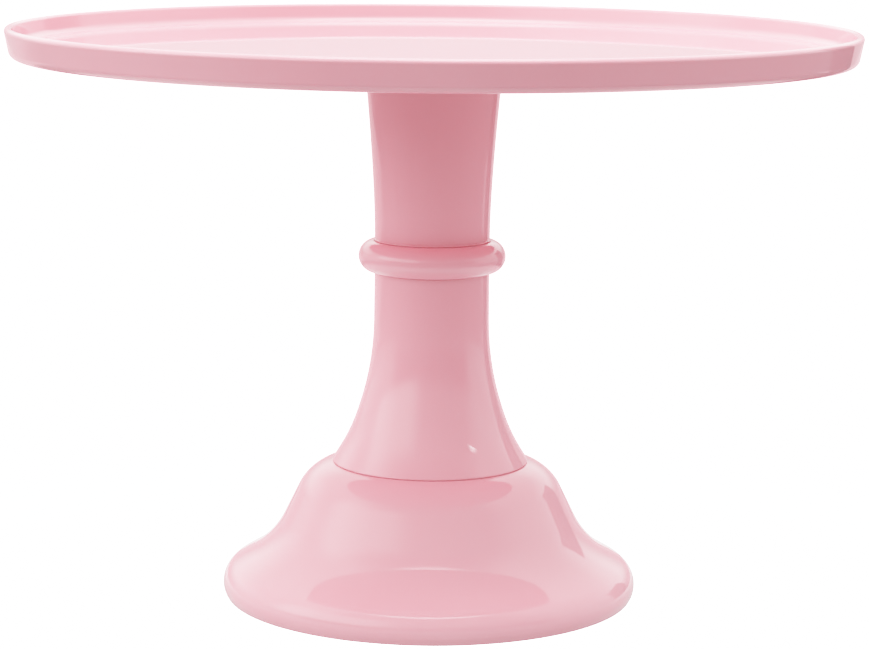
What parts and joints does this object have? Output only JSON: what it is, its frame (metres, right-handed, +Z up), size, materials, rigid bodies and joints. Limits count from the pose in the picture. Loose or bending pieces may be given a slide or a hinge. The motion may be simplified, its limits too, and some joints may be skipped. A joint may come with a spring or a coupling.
{
  "type": "cake stand",
  "caption": "Footed cake stand: round rimmed plate that unscrews from a flared stem with a half-round bead, on a bell-shaped hollow foot with a rolled rim.",
  "frame": {"origin": "centre of the foot's ring on the table, under the middle of the stand", "axes": "+Z up along the stand's axis; X and Y lie on the table and are equivalent, because the stand is round"},
  "size_m": [0.3, 0.3, 0.2042],
  "materials": {
    "melamine": "high-gloss moulded melamine, pale pink",
    "insert_brass": "machined brass",
    "gasket_silicone": "translucent white silicone, satin",
    "zinc_steel": "bright zinc plating"
  },
  "bodies": {
    "pedestal": {"foot_bell": "melamine", "stem_lower": "melamine", "bead_ring": "melamine", "stem_upper": "melamine", "tie_rod": "zinc_steel", "stem_washer": "zinc_steel", "stem_nut": "zinc_steel", "foot_washer": "zinc_steel", "lock_washer": "zinc_steel", "foot_nut": "zinc_steel"},
    "gasket": {"mouth_gasket": "gasket_silicone"},
    "plate": {"plate": "melamine", "plate_insert": "insert_brass"}
  },
  "joints": [
    {"name": "plate_lift", "type": "slide", "parent": "pedestal", "child": "gasket", "axis": [0, 0, 1], "range_m": [0, 0.0126]},
    {"name": "plate_turn", "type": "hinge", "parent": "gasket", "child": "plate", "pos_m": [0, 0, 0.18], "axis": [0, 0, 1], "range_deg": [0, 3600]}
  ],
  "couplings": [
    {"joint": "plate_lift", "follows": "plate_turn", "m_per_rad": 0.00019894}
  ]
}
